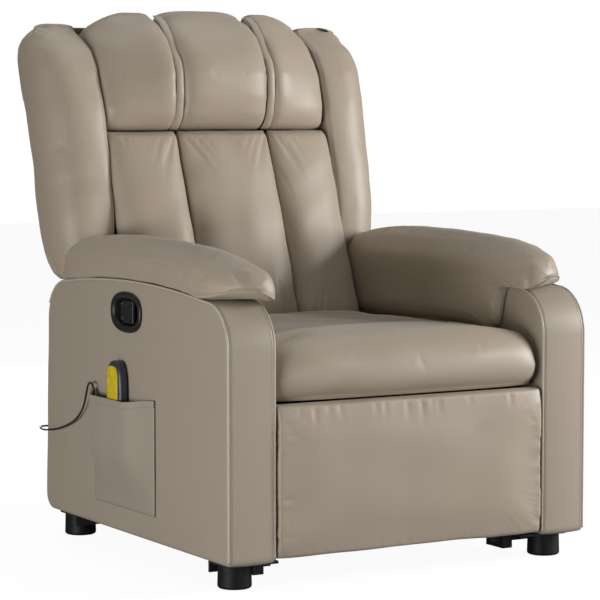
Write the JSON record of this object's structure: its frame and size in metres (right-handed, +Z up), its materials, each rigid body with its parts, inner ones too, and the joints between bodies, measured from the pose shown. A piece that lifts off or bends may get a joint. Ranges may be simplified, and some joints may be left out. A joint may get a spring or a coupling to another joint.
{
  "type": "massage armchair",
  "caption": "Stand-up massage armchair with reclining back, folding footrest, lift base, pull paddle and a wired handset in a side pocket.",
  "frame": {"origin": "on the floor, under the middle of the whole chair's box, pocket included; the chair's own middle plane is at x = 13 mm", "axes": "+Z up, the chair faces -Y, +X is the sitter's left"},
  "size_m": [0.808, 0.973, 1.068],
  "materials": {
    "hide": "satin faux leather",
    "cushion": "satin faux leather over foam",
    "lining": "black non-woven felt",
    "timber": "raw plywood and pine",
    "black_steel": "black powder coat",
    "zinc": "zinc plated",
    "black_plastic": "moulded, matt",
    "handset_blue": "moulded, satin",
    "handset_yellow": "printed panel",
    "cord_black": "PVC lead"
  },
  "bodies": {
    "base": {"base_frame": "black_steel", "base_feet": "black_plastic", "foot_screws": "zinc", "strut_cylinder": "black_steel"},
    "lift": {"lift_arms": "black_steel"},
    "strut": {"strut_rod": "zinc"},
    "chair": {"mechanism_plate_left": "black_steel", "mechanism_plate_right": "black_steel", "front_cross_tube": "black_steel", "rear_cross_tube": "black_steel", "seat_frame": "timber", "seat_springs": "zinc", "seat_deck": "lining", "seat_cushion": "cushion", "arm_frame_left": "timber", "arm_frame_right": "timber", "arm_cover_left": "hide", "arm_cover_right": "hide", "arm_pad_left": "cushion", "arm_pad_right": "cushion", "rear_panel": "hide", "side_pocket": "hide", "handle_bezel": "black_plastic", "release_cable": "cord_black", "handset_cord": "cord_black", "cord_gland": "black_plastic", "control_box": "black_plastic", "power_inlet": "black_plastic", "seat_motors": "black_plastic", "back_hinge_pins": "zinc"},
    "back": {"back_frame": "black_steel", "back_rear_cover": "hide", "head_left": "cushion", "head_centre": "cushion", "head_right": "cushion", "channel_left": "cushion", "channel_centre": "cushion", "channel_right": "cushion", "wing_left": "cushion", "wing_right": "cushion", "back_gusset_left": "cushion", "back_gusset_right": "cushion", "heating_pad": "lining", "back_motors": "black_plastic"},
    "paddle": {"pull_paddle": "black_plastic"},
    "pawl": {"latch_pawl": "zinc"},
    "handset": {"handset_shell": "handset_blue", "handset_face": "handset_yellow"},
    "power_key": {"button_power": "handset_yellow"},
    "mode_key": {"button_mode": "handset_yellow"},
    "intensity_key": {"button_intensity": "handset_yellow"},
    "heat_key": {"button_heat": "handset_yellow"},
    "seat_spinner_left": {"seat_weight_left": "zinc"},
    "seat_spinner_right": {"seat_weight_right": "zinc"},
    "back_spinner_left": {"back_weight_left": "zinc"},
    "back_spinner_right": {"back_weight_right": "zinc"},
    "link_rear": {"footrest_link_rear": "black_steel"},
    "link_front": {"footrest_link_front": "black_steel"},
    "panel": {"footrest_board": "timber", "footrest_pad": "cushion"}
  },
  "joints": [
    {"name": "lift_turn", "type": "hinge", "parent": "base", "child": "lift", "pos_m": [0.013, -0.25, 0.082], "axis": [1, 0, 0], "range_deg": [0, 45]},
    {"name": "chair_tilt", "type": "hinge", "parent": "lift", "child": "chair", "pos_m": [0.013, 0.08985, 0.09209], "axis": [1, 0, 0], "range_deg": [-21, 0]},
    {"name": "strut_slide", "type": "slide", "parent": "base", "child": "strut", "axis": [0, -1, 0], "range_m": [0, 0.036]},
    {"name": "back_recline", "type": "hinge", "parent": "chair", "child": "back", "pos_m": [0.013, 0.215, 0.35], "axis": [-1, 0, 0], "range_deg": [0, 40]},
    {"name": "footrest_open", "type": "hinge", "parent": "chair", "child": "link_rear", "pos_m": [0.013, -0.428, 0.29], "axis": [-1, 0, 0], "range_deg": [0, 90]},
    {"name": "link_unfold", "type": "hinge", "parent": "link_rear", "child": "link_front", "pos_m": [0.013, -0.428, 0.15], "axis": [-1, 0, 0], "range_deg": [-181, 0]},
    {"name": "panel_turn", "type": "hinge", "parent": "link_front", "child": "panel", "pos_m": [0.013, -0.428, 0.29], "axis": [-1, 0, 0], "range_deg": [0, 181]},
    {"name": "paddle_pull", "type": "hinge", "parent": "chair", "child": "paddle", "pos_m": [-0.37, -0.034, 0.478], "axis": [0, 0, -1], "range_deg": [0, 30], "stiffness_Nm_per_rad": 0.4},
    {"name": "pawl_turn", "type": "hinge", "parent": "chair", "child": "pawl", "pos_m": [-0.229, -0.355, 0.255], "axis": [1, 0, 0], "range_deg": [0, 16]},
    {"name": "handset_lift", "type": "slide", "parent": "chair", "child": "handset", "axis": [0, 0, 1], "range_m": [0, 0.05]},
    {"name": "power_press", "type": "slide", "parent": "handset", "child": "power_key", "axis": [1, 0, 0], "range_m": [0, 0.001], "stiffness_N_per_m": 300},
    {"name": "mode_press", "type": "slide", "parent": "handset", "child": "mode_key", "axis": [1, 0, 0], "range_m": [0, 0.001], "stiffness_N_per_m": 300},
    {"name": "intensity_press", "type": "slide", "parent": "handset", "child": "intensity_key", "axis": [1, 0, 0], "range_m": [0, 0.001], "stiffness_N_per_m": 300},
    {"name": "heat_press", "type": "slide", "parent": "handset", "child": "heat_key", "axis": [1, 0, 0], "range_m": [0, 0.001], "stiffness_N_per_m": 300},
    {"name": "seat_spin_left", "type": "hinge", "parent": "chair", "child": "seat_spinner_left", "pos_m": [0.013, -0.15, 0.282], "axis": [1, 0, 0], "continuous": true},
    {"name": "seat_spin_right", "type": "hinge", "parent": "chair", "child": "seat_spinner_right", "pos_m": [0.013, -0.15, 0.282], "axis": [1, 0, 0], "continuous": true},
    {"name": "back_spin_left", "type": "hinge", "parent": "back", "child": "back_spinner_left", "pos_m": [0.013, 0.285, 0.56], "axis": [1, 0, 0], "continuous": true},
    {"name": "back_spin_right", "type": "hinge", "parent": "back", "child": "back_spinner_right", "pos_m": [0.013, 0.285, 0.56], "axis": [1, 0, 0], "continuous": true}
  ],
  "couplings": [
    {"joint": "chair_tilt", "follows": "lift_turn", "ratio": -0.45},
    {"joint": "strut_slide", "follows": "lift_turn", "m_per_rad": 0.04385},
    {"joint": "link_unfold", "follows": "footrest_open", "ratio": -2},
    {"joint": "panel_turn", "follows": "footrest_open", "ratio": 2},
    {"joint": "pawl_turn", "follows": "paddle_pull", "ratio": 0.5}
  ]
}
